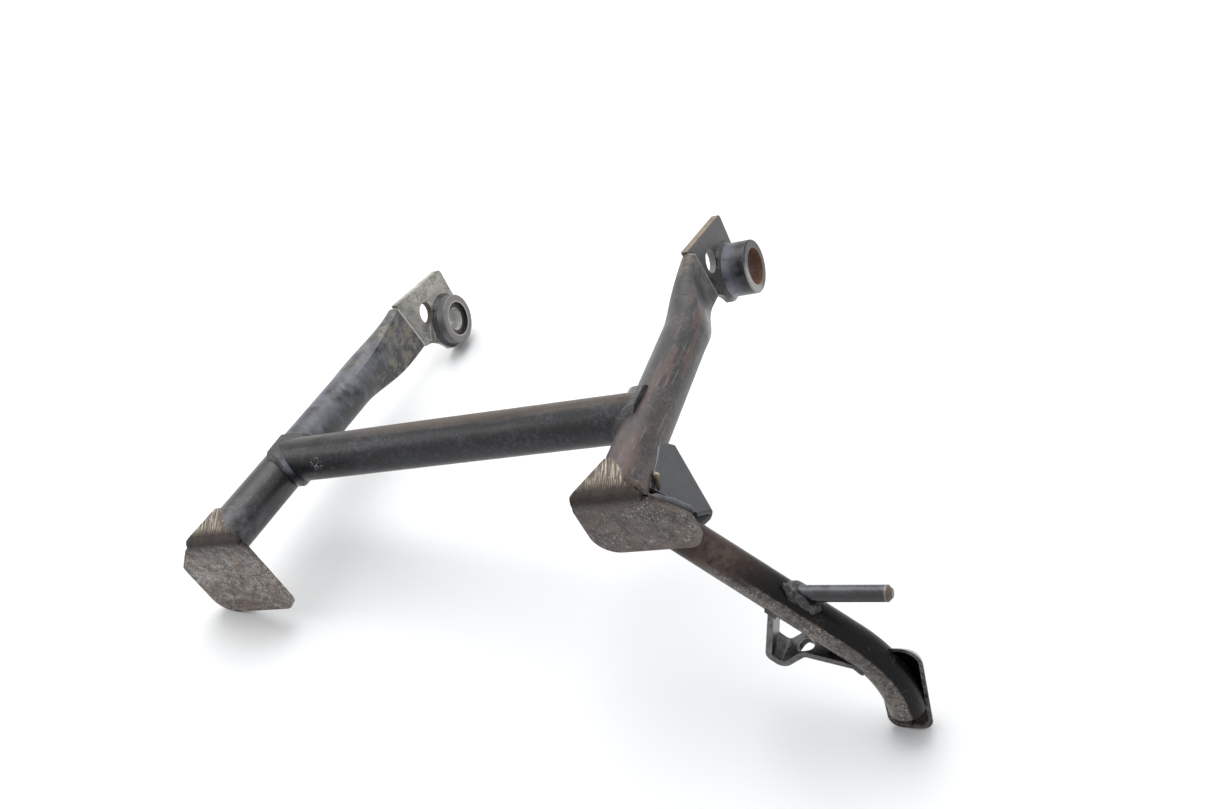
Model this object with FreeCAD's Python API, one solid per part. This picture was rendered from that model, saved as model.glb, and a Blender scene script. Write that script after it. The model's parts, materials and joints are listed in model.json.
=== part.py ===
import FreeCAD, Part
import math
import os

from FreeCAD import Placement, Rotation, Vector

# Motorcycle centre stand, one welded frame, in millimetres.
# It is drawn as it hangs under the bike, then turned to lie on the floor as it comes to rest.
# Drawing frame: x to the bike's left, y to the rear, z up, origin on the pivot axis.

# Leg tubes and cross tube
leg_od = 28.0
leg_wall = 2.5
leg_spacing = 260.4
leg_forward = 19.5
leg_splay_deg = 3.55
cross_drop = 189.0
cross_forward = 22.5

# Pressed upper ends of the legs
press_start_drop = 112.0
press_length = 80.0
press_share = 0.82
pressed_thickness = 9.0
pressed_front = 42.0
pressed_rear = 1.5
pressed_end_front_drop = 43.9
pressed_end_rear_drop = 35.2
press_steps = 11

# Pivot plates
pivot_inner_spacing = 221.0
plate_thickness = 4.3
plate_rim = 2.7
plate_tip_forward = 33.0
plate_tip_height = 18.6
plate_tip_radius = 4.5
plate_notch_depth = 3.2
lock_hole_diameter = 15.0
lock_hole_forward = 18.8
lock_hole_drop = 18.2

# Pivot bosses, both welded to the side of their plate that faces the bike's left
boss_od = 35.4
boss_edge_round = 1.2
left_boss_length = 9.5
left_counterbore_diameter = 24.0
left_counterbore_depth = 2.6
left_bore_diameter = 16.0
right_boss_length = 19.5
right_bore_diameter = 24.4

# Foot plates, each a sole with a pointed toe bent up from its front edge
foot_thickness = 3.8
foot_bend_radius = 1.8
sole_tilt_deg = 8.5
toe_lean_deg = 33.0
toe_height = 22.5
toe_point_offset = 3.5
toe_point_half_width = 2.5
toe_shoulder_height = 6.0
toe_shoulder_inset = 2.0
toe_point_radius = 2.0
toe_shoulder_radius = 5.0
foot_corner_radius = 0.3
sole_step = 3.0
left_foot_drop = 266.0
left_foot_forward = 22.0
left_foot_outboard = 42.5
left_foot_inboard = 17.6
left_foot_depth = 64.0
left_toe_right_half = 25.3
left_toe_left_half = 16.8
right_foot_drop = 262.0
right_foot_forward = 24.0
right_foot_outboard = 36.4
right_foot_inboard = 26.0
right_foot_depth = 41.0
right_toe_right_half = 25.0
right_toe_left_half = 17.2
sole_slant_length = 19.0
sole_slant_radius = 7.0
left_heel_outboard_radius = 14.0
left_heel_inboard_radius = 8.0
right_heel_outboard_radius = 9.0
right_heel_inboard_radius = 14.0

# Tread arm, a round tube that runs out to the rear in a level plane
arm_od = 20.5
arm_wall = 2.3
arm_root_x = 139.5
arm_root_y = 3.7
arm_heading_deg = 50.3
arm_rest_y = 16.5
arm_root_behind = 13.0
arm_straight_length = 126.7
arm_bend_radius = 70.0
arm_bend_deg = 42.0
arm_end_length = 2.8

# Tread pad, a pressed tray over the end of the arm
pad_length = 61.7
pad_front_room = 5.5
pad_rear_room = 4.1
pad_depth = 8.0
pad_sheet = 2.4
pad_front_flat_share = 0.156
pad_rear_flat_share = 0.483
pad_wall_inset = 3.4
pad_front_inset = 10.5
pad_turn_deg = 5.3
pad_rear_gap = 16.8
pad_outboard = -0.3
pad_fold_margin = 0.4
pad_seat = 0.3

# Stop rod on the front side of the arm
rod_diameter = 9.0
rod_length = 62.6
rod_tip_chamfer = 2.2
rod_before_bend = 48.1
rod_heading_deg = 3.8

# Spring hook, a strip bent in plan and welded to the rear side of the arm
hook_edge_margin = 1.35
hook_rise = 0.9
hook_thickness = 3.4
hook_before_bend = 49.0
hook_reach = 41.0
hook_lean_deg = 111.2
hook_base_length = 10.0
hook_base_heading_deg = 51.9
hook_return_length = 16.2
hook_return_heading_deg = -29.6
hook_tail_length = 33.0
hook_tail_heading_deg = 22.6
hook_bend_radius = 4.6
hook_hole_diameter = 9.5
hook_hole_drop = 2.6

# Gusset, a sheet folded along its ridge and set over the root of the arm
gusset_sheet = 2.3
gusset_ridge_radius = 3.2
gusset_ridge_lift = 7.2
gusset_top_trim = 6.0
gusset_top_edge_deg = 58.0
gusset_top_drop = 203.4
gusset_top_standoff = 20.0
gusset_top_heading_deg = 25.4
gusset_low_along = 30.6
gusset_low_outboard = 5.0
gusset_low_rise = 23.6
gusset_front_along = 19.4
gusset_front_outboard = 9.7
gusset_front_rise = 9.6
gusset_rear_along = 26.5
gusset_rear_outboard = -3.9
gusset_rear_rise = 9.2
gusset_edge_slope_deg = 20.8
gusset_flange = 52.0

# Weld beads
boss_weld_leg = 2.2
foot_weld_leg = 3.0
tube_weld_leg = 3.0
tube_weld_spread = 3.6
rod_weld_leg = 2.4
plate_weld_reach = 5.0
arm_weld_leg = 3.0
hook_weld_leg = 1.5
pad_weld_leg = 3.4

# Clearances
weld_hole_gap = 0.8
reach_margin = 60.0

X = Vector(1, 0, 0)
Y = Vector(0, 1, 0)
Z = Vector(0, 0, 1)


def unit(v):
    return Vector(v).normalize()


def heading(angle_deg):
    angle = math.radians(angle_deg)
    return Vector(math.cos(angle), math.sin(angle), 0)


def smoothstep(t):
    return t * t * (3.0 - 2.0 * t)


def rod_between(start, end, radius):
    axis = end - start
    return Part.makeCylinder(radius, axis.Length, start, axis)


def beyond(point, normal):
    """Everything on one side of a plane, within the reach of the stand."""
    return rod_between(point, point + unit(normal) * (4 * reach_margin), 4 * reach_margin)


def polygon_face(points):
    return Part.Face(Part.makePolygon(list(points) + [points[0]]))


def rounded_outline(points, radii):
    """Closed wire through corner points, each corner rounded to its own radius."""
    count = len(points)
    edges = []
    ends = []
    for i in range(count):
        corner = points[i]
        before = unit(points[i - 1] - corner)
        after = unit(points[(i + 1) % count] - corner)
        half_angle = before.getAngle(after) / 2.0
        cut = radii[i] / math.tan(half_angle)
        middle_gap = radii[i] / math.sin(half_angle) - radii[i]
        start = corner + before * cut
        middle = corner + unit(before + after) * middle_gap
        end = corner + after * cut
        ends.append((start, middle, end))
    for i in range(count):
        start, middle, end = ends[i]
        edges.append(Part.Arc(start, middle, end).toShape())
        edges.append(Part.LineSegment(end, ends[(i + 1) % count][0]).toShape())
    return Part.Wire(edges)


def rounded_path(points, radius):
    """Open wire along straight runs joined by tangent arcs of one radius."""
    edges = []
    last = points[0]
    for i in range(1, len(points) - 1):
        corner = points[i]
        before = unit(points[i - 1] - corner)
        after = unit(points[i + 1] - corner)
        half_angle = before.getAngle(after) / 2.0
        cut = radius / math.tan(half_angle)
        middle_gap = radius / math.sin(half_angle) - radius
        start = corner + before * cut
        middle = corner + unit(before + after) * middle_gap
        end = corner + after * cut
        edges.append(Part.LineSegment(last, start).toShape())
        edges.append(Part.Arc(start, middle, end).toShape())
        last = end
    edges.append(Part.LineSegment(last, points[-1]).toShape())
    return Part.Wire(edges)


def one_solid(shape):
    """The largest solid of a result, so that a trimmed piece drops its offcuts."""
    return max(shape.Solids, key=lambda s: s.Volume)


# Places that several pieces share

leg_tan = math.tan(math.radians(leg_splay_deg))


def leg_axis_point(side, drop):
    x = leg_spacing / 2.0 + (drop - cross_drop) * leg_tan
    return Vector(side * x, -leg_forward, -drop)


def leg_direction(side):
    return unit(leg_axis_point(side, 1.0) - leg_axis_point(side, 0.0))


def foot_drop(side):
    return left_foot_drop if side < 0 else right_foot_drop


def sole_frame(side):
    """Fold point, rearward direction and upward normal of one sole's lower face."""
    drop = foot_drop(side)
    forward = left_foot_forward if side < 0 else right_foot_forward
    tilt = math.radians(sole_tilt_deg)
    fold = Vector(leg_axis_point(side, drop).x, -forward, -drop)
    rearward = Vector(0, math.cos(tilt), math.sin(tilt))
    normal = Vector(0, -math.sin(tilt), math.cos(tilt))
    return fold, rearward, normal


arm_heading = math.radians(arm_heading_deg)
arm_direction = Vector(math.cos(arm_heading), math.sin(arm_heading), 0)
arm_side = Vector(math.sin(arm_heading), -math.cos(arm_heading), 0)


def arm_root():
    fold, rearward, normal = sole_frame(1)
    rise = math.tan(math.radians(sole_tilt_deg)) * (arm_rest_y - fold.y)
    z = fold.z + foot_thickness + rise + arm_od / 2.0
    return Vector(arm_root_x, arm_root_y, z)


def arm_point(along):
    return arm_root() + arm_direction * along


def arm_path():
    bend_start = arm_point(arm_straight_length)
    centre = bend_start - arm_side * arm_bend_radius
    half_turn = Rotation(Z, arm_bend_deg / 2.0)
    full_turn = Rotation(Z, arm_bend_deg)
    bend_middle = centre + half_turn.multVec(bend_start - centre)
    bend_end = centre + full_turn.multVec(bend_start - centre)
    end = bend_end + full_turn.multVec(arm_direction) * arm_end_length
    return arm_root(), bend_start, bend_middle, bend_end, end


# Legs

def pressed_section(centre, direction, width, thickness):
    """Four arcs: a circle when width equals thickness, a flat oval when it doesn't."""
    across = unit(Vector(direction.z, 0, -direction.x))
    half_w = width / 2.0
    half_t = thickness / 2.0
    corner_w = half_w - half_t * (1.0 - math.sqrt(0.5))
    corner_t = half_t * (1.0 - (1.0 - math.sqrt(0.5)) * (thickness / width) ** 2)

    def at(w, t):
        return centre + Y * w + across * t

    corners = [at(-corner_w, -corner_t), at(-corner_w, corner_t)]
    corners += [at(corner_w, corner_t), at(corner_w, -corner_t)]
    middles = [at(-half_w, 0), at(0, half_t), at(half_w, 0), at(0, -half_t)]
    edges = []
    for i in range(4):
        edges.append(Part.Arc(corners[i], middles[i], corners[(i + 1) % 4]).toShape())
    return Part.Wire(edges)


def pressed_shape(side, inset):
    """Upper leg: pressed flat towards its inner side, which stays in line with the plate."""
    knee = leg_axis_point(side, press_start_drop)
    knee_inner = abs(knee.x) - leg_od / 2.0
    end_inner = pivot_inner_spacing / 2.0
    up = leg_direction(side) * -1.0
    wires = []
    for i in range(press_steps):
        share = i / (press_steps - 1.0)
        ease = smoothstep(min(share / press_share, 1.0))
        drop = press_start_drop - press_length * share
        thickness = leg_od + (pressed_thickness - leg_od) * ease
        inner = knee_inner + (end_inner - knee_inner) * ease
        knee_front = leg_forward + leg_od / 2.0
        knee_rear = leg_forward - leg_od / 2.0
        front = knee_front + (pressed_front - knee_front) * share ** 1.6
        rear = knee_rear + (pressed_rear - knee_rear) * smoothstep(min(share / 0.6, 1.0))
        centre = Vector(side * (inner + thickness / 2.0), -(front + rear) / 2.0, -drop)
        direction = unit(up * (1.0 - ease) + Z * ease)
        width = front - rear
        wires.append(pressed_section(centre, direction, width - 2 * inset, thickness - 2 * inset))
    return Part.makeLoft(wires, True, False)


def pressed_end_plane():
    """Front and rear points of the slanting line on which each pressed end stops."""
    front = Vector(0, -pressed_front, -pressed_end_front_drop)
    rear = Vector(0, -pressed_rear, -pressed_end_rear_drop)
    return front, rear


def above_pressed_end():
    front, rear = pressed_end_plane()
    along = unit(rear - front)
    a = front - along * reach_margin
    b = rear + along * reach_margin
    lift = Vector(0, -along.z, along.y) * (2 * reach_margin)
    span = leg_spacing + 4 * reach_margin
    start = Vector(-span / 2.0, 0, 0)
    face = polygon_face([a + start, b + start, b + lift + start, a + lift + start])
    return face.extrude(X * span)


def toe_frame():
    lean = math.radians(toe_lean_deg)
    toe_up = Vector(0, -math.sin(lean), math.cos(lean))
    toe_inward = Vector(0, math.cos(lean), math.sin(lean))
    return toe_up, toe_inward


def fold_setback():
    """How far from the fold line the bend begins, on the sole and on the toe."""
    fold, rearward, normal = sole_frame(1)
    toe_up, toe_inward = toe_frame()
    turn = toe_up.getAngle(rearward * -1.0)
    return (foot_bend_radius + foot_thickness) * math.tan(turn / 2.0)


def toe_face(side, start_height):
    """The toe's outline on its front face."""
    fold, rearward, normal = sole_frame(side)
    toe_up, toe_inward = toe_frame()
    right_half = left_toe_right_half if side < 0 else right_toe_right_half
    left_half = left_toe_left_half if side < 0 else right_toe_left_half
    shoulder = right_half - toe_shoulder_inset
    point_right = toe_point_offset + toe_point_half_width
    point_left = toe_point_offset - toe_point_half_width
    lost = start_height / toe_height * (left_half + point_left)

    def at(x, height):
        return fold + X * x + toe_up * height

    points = [
        at(-right_half, start_height),
        at(left_half - lost, start_height),
        at(-point_left, toe_height),
        at(-point_right, toe_height),
        at(-shoulder, toe_shoulder_height),
    ]
    radii = [foot_corner_radius] * 2 + [toe_point_radius] * 2 + [toe_shoulder_radius]
    return Part.Face(rounded_outline(points, radii))


def foot_trim(side):
    """What a leg's tube must not enter: the sole and all below it, the toe and all before it."""
    fold, rearward, normal = sole_frame(side)
    toe_up, toe_inward = toe_frame()
    below = beyond(fold + normal * foot_thickness, normal * -1.0)
    toe = toe_face(side, 0.0)
    toe.translate(toe_inward * foot_thickness)
    front = toe.extrude(toe_inward * -leg_od)
    return below.fuse(front)


def leg_outer(side):
    drop = foot_drop(side)
    foot_end = leg_axis_point(side, drop + reach_margin)
    knee = leg_axis_point(side, press_start_drop)
    return rod_between(foot_end, knee, leg_od / 2.0)


def leg_body(side):
    """The leg's outer form with no bore, for seating other pieces against."""
    body = leg_outer(side).fuse(pressed_shape(side, 0.0))
    return body.cut(above_pressed_end()).cut(foot_trim(side))


def leg_tube(side, foot):
    drop = foot_drop(side)
    foot_end = leg_axis_point(side, drop + reach_margin)
    knee = leg_axis_point(side, press_start_drop)
    bore = rod_between(foot_end, knee, leg_od / 2.0 - leg_wall)
    bore = bore.fuse(pressed_shape(side, leg_wall))
    return one_solid(leg_body(side).cut(bore).cut(foot))


# Cross tube

def cross_body(extra=0.0):
    end = leg_axis_point(1, cross_drop).x
    start = Vector(-end, -cross_forward, -cross_drop)
    return rod_between(start, start + X * (2 * end), leg_od / 2.0 + extra)


def cross_tube(legs):
    end = leg_axis_point(1, cross_drop).x
    start = Vector(-end, -cross_forward, -cross_drop)
    bore = rod_between(start, start + X * (2 * end), leg_od / 2.0 - leg_wall)
    tube = cross_body().cut(bore)
    for leg in legs:
        tube = tube.cut(leg)
    return one_solid(tube)


# Pivot plates and bosses

def plate_outline():
    """Plate profile in the y z plane: a slanting foot, a pointed front corner, a round lobe."""
    lobe = boss_od / 2.0 + plate_rim
    front, rear = pressed_end_plane()
    tip = Vector(0, -plate_tip_forward, plate_tip_height)
    tip_angle = math.atan2(tip.z, tip.y)
    tangent_angle = tip_angle - math.acos(lobe / tip.Length)
    notch_angle = math.radians(-32.0)

    def on_lobe(angle):
        return Vector(0, lobe * math.cos(angle), lobe * math.sin(angle))

    lobe_top = on_lobe(tangent_angle)
    lobe_rear = on_lobe((tangent_angle + notch_angle) / 2.0)
    lobe_low = on_lobe(notch_angle)
    to_front = unit(front - tip)
    to_top = unit(lobe_top - tip)
    half = to_front.getAngle(to_top) / 2.0
    cut = plate_tip_radius / math.tan(half)
    gap = plate_tip_radius / math.sin(half) - plate_tip_radius
    tip_start = tip + to_front * cut
    tip_middle = tip + unit(to_front + to_top) * gap
    tip_end = tip + to_top * cut
    chord = rear - lobe_low
    inward = unit(Vector(0, chord.z, -chord.y))
    notch_middle = (rear + lobe_low) * 0.5 + inward * plate_notch_depth
    edges = [
        Part.LineSegment(rear, front).toShape(),
        Part.LineSegment(front, tip_start).toShape(),
        Part.Arc(tip_start, tip_middle, tip_end).toShape(),
        Part.LineSegment(tip_end, lobe_top).toShape(),
        Part.Arc(lobe_top, lobe_rear, lobe_low).toShape(),
        Part.Arc(lobe_low, notch_middle, rear).toShape(),
    ]
    return Part.Wire(edges)


def plate_start_x(side):
    """The face of a plate that looks to the bike's right."""
    inner = pivot_inner_spacing / 2.0
    return inner if side > 0 else -inner - plate_thickness


def pivot_plate(side):
    start_x = plate_start_x(side)
    plate = Part.Face(plate_outline()).extrude(X * plate_thickness)
    plate.translate(X * start_x)
    lock_centre = Vector(start_x - reach_margin, -lock_hole_forward, -lock_hole_drop)
    lock = rod_between(lock_centre, lock_centre + X * (3 * reach_margin), lock_hole_diameter / 2.0)
    bore_diameter = left_bore_diameter if side < 0 else right_bore_diameter
    bore_start = Vector(start_x - reach_margin, 0, 0)
    bore = rod_between(bore_start, bore_start + X * (3 * reach_margin), bore_diameter / 2.0)
    return one_solid(plate.cut(lock).cut(bore))


def boss_start(side):
    return Vector(plate_start_x(side) + plate_thickness, 0, 0)


def pivot_boss(side):
    start = boss_start(side)
    length = left_boss_length if side < 0 else right_boss_length
    bore_diameter = left_bore_diameter if side < 0 else right_bore_diameter
    end = start + X * length
    body = rod_between(start, end, boss_od / 2.0)
    rim = [e for e in body.Edges if e.BoundBox.XMin > end.x - 0.1]
    body = body.makeFillet(boss_edge_round, rim)
    body = body.cut(rod_between(start - X, end + X, bore_diameter / 2.0))
    if side < 0:
        mouth = end - X * left_counterbore_depth
        body = body.cut(rod_between(mouth, end + X, left_counterbore_diameter / 2.0))
    return one_solid(body)


def boss_weld(side):
    """Ring bead in the corner between a boss and its plate."""
    start = boss_start(side)
    radius = boss_od / 2.0
    bead = Part.makeCone(radius + boss_weld_leg, radius, boss_weld_leg * 1.4, start, X)
    bead = bead.cut(rod_between(start - X, start + X * (2 * boss_weld_leg), radius))
    lock = Vector(start.x - 1.0, -lock_hole_forward, -lock_hole_drop)
    lock_rod = rod_between(lock, lock + X * (3 * boss_weld_leg), lock_hole_diameter / 2.0 + weld_hole_gap)
    return one_solid(bead.cut(lock_rod))


def plate_weld(side, leg):
    """Bead on the outer side, from the pressed tube's end down to the plate."""
    front, rear = pressed_end_plane()
    along = unit(rear - front)
    lift = Vector(0, -along.z, along.y)
    low = side * (pivot_inner_spacing / 2.0 + plate_thickness)
    high = side * (pivot_inner_spacing / 2.0 + pressed_thickness * 0.94)
    margin = pressed_thickness * 0.6
    start = front + along * margin
    foot = start + X * low
    top = start + X * high
    toe = start + X * low + lift * plate_weld_reach
    middle = start + X * (low + (high - low) * 0.62) + lift * (plate_weld_reach * 0.62)
    edges = [
        Part.LineSegment(foot, top).toShape(),
        Part.Arc(top, middle, toe).toShape(),
        Part.LineSegment(toe, foot).toShape(),
    ]
    length = (rear - front).Length - 2 * margin
    bead = Part.Face(Part.Wire(edges)).extrude(along * length)
    bead = bead.cut(leg)
    lock = Vector(-reach_margin * 3, -lock_hole_forward, -lock_hole_drop)
    lock_rod = rod_between(lock, lock + X * (6 * reach_margin), lock_hole_diameter / 2.0 + weld_hole_gap)
    bore = rod_between(X * (-3 * reach_margin), X * (3 * reach_margin), boss_od / 2.0 + plate_rim)
    return one_solid(bead.cut(lock_rod).cut(bore))


def cross_weld(side, leg):
    """Ring bead in the corner between a leg and the cross tube's end."""
    drop = cross_drop + 3 * leg_od
    low = leg_axis_point(side, drop)
    high = leg_axis_point(side, cross_drop - 3 * leg_od)
    around_leg = rod_between(low, high, leg_od / 2.0 + tube_weld_spread)
    bead = cross_body(tube_weld_leg).common(around_leg)
    return one_solid(bead.cut(cross_body()).cut(leg))


# Feet

def foot_plate(side):
    """Sole, bend and toe of one sheet."""
    fold, rearward, normal = sole_frame(side)
    toe_up, toe_inward = toe_frame()
    setback = fold_setback()
    bend = math.degrees(toe_up.getAngle(rearward * -1.0))
    outer_radius = foot_bend_radius + foot_thickness
    depth = left_foot_depth if side < 0 else right_foot_depth
    outboard = left_foot_outboard if side < 0 else right_foot_outboard
    inboard = left_foot_inboard if side < 0 else right_foot_inboard
    toe_right = left_toe_right_half if side < 0 else right_toe_right_half
    toe_left = left_toe_left_half if side < 0 else right_toe_left_half
    toe_outboard = toe_right if side < 0 else toe_left
    toe_inboard = toe_left if side < 0 else toe_right
    heel_out = left_heel_outboard_radius if side < 0 else right_heel_outboard_radius
    heel_in = left_heel_inboard_radius if side < 0 else right_heel_inboard_radius
    out = X * side

    def sole_at(u, s):
        return fold + out * u + rearward * s

    sole_points = [
        sole_at(-toe_inboard, setback),
        sole_at(toe_outboard + setback * 0.8, setback),
        sole_at(outboard, sole_slant_length),
        sole_at(outboard, depth),
        sole_at(-inboard, depth),
        sole_at(-inboard, setback + sole_step),
    ]
    radii = [foot_corner_radius] * 2 + [sole_slant_radius, heel_out, heel_in, foot_corner_radius]
    sole = Part.Face(rounded_outline(sole_points, radii)).extrude(normal * foot_thickness)
    toe = toe_face(side, setback).extrude(toe_inward * foot_thickness)
    base = fold + rearward * setback
    centre = base + normal * outer_radius
    lost = setback / toe_height * (toe_left + toe_point_offset - toe_point_half_width)
    width = toe_right + toe_left - lost * 0.5
    section_start = base - X * toe_right
    section = polygon_face([
        section_start,
        section_start + X * width,
        section_start + X * width + normal * foot_thickness,
        section_start + normal * foot_thickness,
    ])
    bend_part = section.revolve(centre, X, -bend)
    return one_solid(sole.fuse([bend_part, toe]).removeSplitter())


def foot_weld(side, leg, foot):
    """Bead round the tube where it stands on the sole."""
    fold, rearward, normal = sole_frame(side)
    drop = foot_drop(side)
    centre = leg_axis_point(side, drop)
    slide = (fold + normal * foot_thickness - centre).dot(normal) / normal.dot(Z)
    centre = centre + Z * slide
    radius = leg_od / 2.0
    up = leg_direction(side) * -1.0
    start = centre - up * foot_weld_leg * 2
    bead = Part.makeCone(radius + foot_weld_leg * 3, radius, foot_weld_leg * 3, start, up)
    toe_up, toe_inward = toe_frame()
    before_toe = beyond(fold + toe_inward * foot_thickness, toe_inward * -1.0)
    bead = bead.cut(foot_trim(side)).cut(before_toe).cut(leg).cut(leg_outer(side)).cut(foot)
    return one_solid(bead)


# Tread arm and what it carries

def arm_solid(radius, root_extra=0.0, end_extra=0.0):
    root, bend_start, bend_middle, bend_end, end = arm_path()
    root = root - arm_direction * (arm_root_behind + root_extra)
    end = end + unit(end - bend_end) * end_extra
    path = Part.Wire([
        Part.LineSegment(root, bend_start).toShape(),
        Part.Arc(bend_start, bend_middle, bend_end).toShape(),
        Part.LineSegment(bend_end, end).toShape(),
    ])
    profile = Part.Wire(Part.makeCircle(radius, root, arm_direction))
    return path.makePipeShell([profile], True, True)


def arm_body():
    return arm_solid(arm_od / 2.0)


def tread_arm(blockers):
    arm = arm_body().cut(arm_solid(arm_od / 2.0 - arm_wall, 1.0, 1.0))
    for blocker in blockers:
        arm = arm.cut(blocker)
    return one_solid(arm)


def arm_weld(leg, others):
    """Bead in the corner between the right leg and the root of the arm."""
    low = leg_axis_point(1, right_foot_drop + arm_od)
    high = leg_axis_point(1, cross_drop)
    around_leg = rod_between(low, high, leg_od / 2.0 + arm_weld_leg)
    bead = arm_solid(arm_od / 2.0 + arm_weld_leg).common(around_leg).cut(arm_body()).cut(leg)
    for other in others:
        bead = bead.cut(other)
    return one_solid(bead)


def pad_frame():
    root, bend_start, bend_middle, bend_end, end = arm_path()
    forward = Rotation(Z, pad_turn_deg).multVec(unit(end - bend_end))
    side = Vector(forward.y, -forward.x, 0)
    top = end.z + arm_od / 2.0 - pad_seat
    rear = end + forward * (pad_rear_gap + pad_sheet) + side * pad_outboard
    return Vector(rear.x, rear.y, top), forward, side


def pad_top_halves():
    """Half widths of the tray's top face at its rear and at its front."""
    rear_half = (arm_od + pad_rear_room) / 2.0 - pad_wall_inset
    front_half = (arm_od + pad_front_room) / 2.0 - pad_wall_inset
    return rear_half, front_half


def pad_outline(drop, offset):
    """Outline of the tray's wall, drop below its floor, offset inwards from the outer face."""
    rear, forward, side = pad_frame()
    share = (pad_depth - drop) / (pad_depth + pad_sheet)
    inset = pad_wall_inset * share + offset
    front_inset = pad_front_inset * share + offset
    back = rear - forward * inset - Z * drop
    front = rear - forward * (pad_length - front_inset) - Z * drop
    back_half = (arm_od + pad_rear_room) / 2.0 - inset
    front_half = (arm_od + pad_front_room) / 2.0 - inset
    points = [back - side * back_half, back + side * back_half]
    points += [front + side * front_half, front - side * front_half]
    rear_top, front_top = pad_top_halves()
    back_flat = rear_top * pad_rear_flat_share
    front_flat = front_top * pad_front_flat_share
    radii = [back_half - back_flat] * 2 + [front_half - front_flat] * 2
    return rounded_outline(points, radii)


def pad_block(low_drop, high_drop, offset):
    block = Part.makeLoft([pad_outline(low_drop, offset), pad_outline(high_drop, offset)], True, True)
    top_z = max(v.Z for v in block.Vertexes)
    fold = [e for e in block.Edges if e.BoundBox.ZMin > top_z - 0.01]
    rear_top, front_top = pad_top_halves()
    fold_radius = rear_top * (1.0 - pad_rear_flat_share) - pad_fold_margin
    return block.makeFillet(fold_radius - offset, fold)


def tread_pad(arm):
    """Pressed tray, open below: its walls spread down round the end of the arm."""
    outer = pad_block(pad_depth, -pad_sheet, 0.0)
    inner = pad_block(pad_depth + pad_sheet, 0.0, pad_sheet)
    return one_solid(outer.cut(inner).cut(arm))


def pad_weld(arm, pad):
    """Bead in the corner between the open end of the arm and the tray's floor."""
    root, bend_start, bend_middle, bend_end, end = arm_path()
    forward = unit(end - bend_end)
    side = Vector(forward.y, -forward.x, 0)
    corner = end + Z * (arm_od / 2.0 - pad_seat)
    half_length = arm_od / 2.0 - pad_weld_leg
    bead = rod_between(corner - side * half_length, corner + side * half_length, pad_weld_leg)
    return one_solid(bead.cut(beyond(corner, Z)).cut(arm).cut(pad))


def stop_rod_axis():
    start = arm_point(arm_straight_length - rod_before_bend)
    return start, start + heading(rod_heading_deg) * rod_length


def stop_rod_body(extra=0.0):
    start, end = stop_rod_axis()
    return rod_between(start, end, rod_diameter / 2.0 + extra)


def stop_rod(arm):
    start, end = stop_rod_axis()
    body = stop_rod_body()
    rim = [e for e in body.Edges if (e.BoundBox.Center - end).Length < 0.1]
    body = body.makeChamfer(rod_tip_chamfer, rim)
    return one_solid(body.cut(arm))


def rod_weld(arm, rod):
    bead = stop_rod_body(rod_weld_leg).common(arm_solid(arm_od / 2.0 + rod_weld_leg))
    return one_solid(bead.cut(arm).cut(stop_rod_body()))


def hook_points():
    start = arm_point(arm_straight_length - hook_before_bend) + Z * hook_rise
    corner = start + heading(hook_lean_deg) * hook_reach
    base = corner + heading(hook_base_heading_deg) * hook_base_length
    back = base + heading(hook_return_heading_deg) * hook_return_length
    tail = back + heading(hook_tail_heading_deg) * hook_tail_length
    return [start, corner, base, back, tail]


def hook_strip(extra=0.0):
    points = hook_points()
    path = rounded_path(points, hook_bend_radius)
    across = heading(hook_lean_deg + 90.0) * (hook_thickness / 2.0 + extra)
    low = Z * (hook_edge_margin - arm_od / 2.0 - extra)
    start = points[0]
    profile = Part.Wire(Part.makePolygon([
        start + across + low,
        start - across + low,
        start - across - low,
        start + across - low,
        start + across + low,
    ]))
    return path.makePipeShell([profile], True, False)


def hook_welds(arm, hook):
    """Beads where the two ends of the strip meet the arm, the one nearer the leg first."""
    beads = hook_strip(hook_weld_leg).common(arm_solid(arm_od / 2.0 + hook_weld_leg)).cut(arm).cut(hook)
    largest = sorted(beads.Solids, key=lambda b: -b.Volume)[:2]
    return sorted(largest, key=lambda b: b.CenterOfMass.dot(arm_direction))


def spring_hook(arm):
    """Strip bent round a U and back to the arm, with a hole for a spring's end."""
    points = hook_points()
    strip = hook_strip()
    hole_centre = points[3] - Z * hook_hole_drop
    through = heading((hook_return_heading_deg + hook_tail_heading_deg) / 2.0 + 90.0)
    hole_start = hole_centre - through * (hook_thickness * 1.8)
    hole_end = hole_centre + through * (hook_thickness * 1.8)
    strip = strip.cut(rod_between(hole_start, hole_end, hook_hole_diameter / 2.0))
    return one_solid(strip.cut(arm))


# Gusset

def beside_arm(along, outboard, rise):
    return arm_point(along) + arm_side * outboard + Z * rise


def gusset_corners():
    leg = leg_axis_point(1, gusset_top_drop)
    ridge_top = leg + heading(gusset_top_heading_deg) * gusset_top_standoff
    ridge_low = beside_arm(gusset_low_along, gusset_low_outboard, gusset_low_rise)
    front_low = beside_arm(gusset_front_along, gusset_front_outboard, gusset_front_rise)
    rear_low = beside_arm(gusset_rear_along, gusset_rear_outboard, gusset_rear_rise)
    return ridge_top, ridge_low, front_low, rear_low


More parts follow.
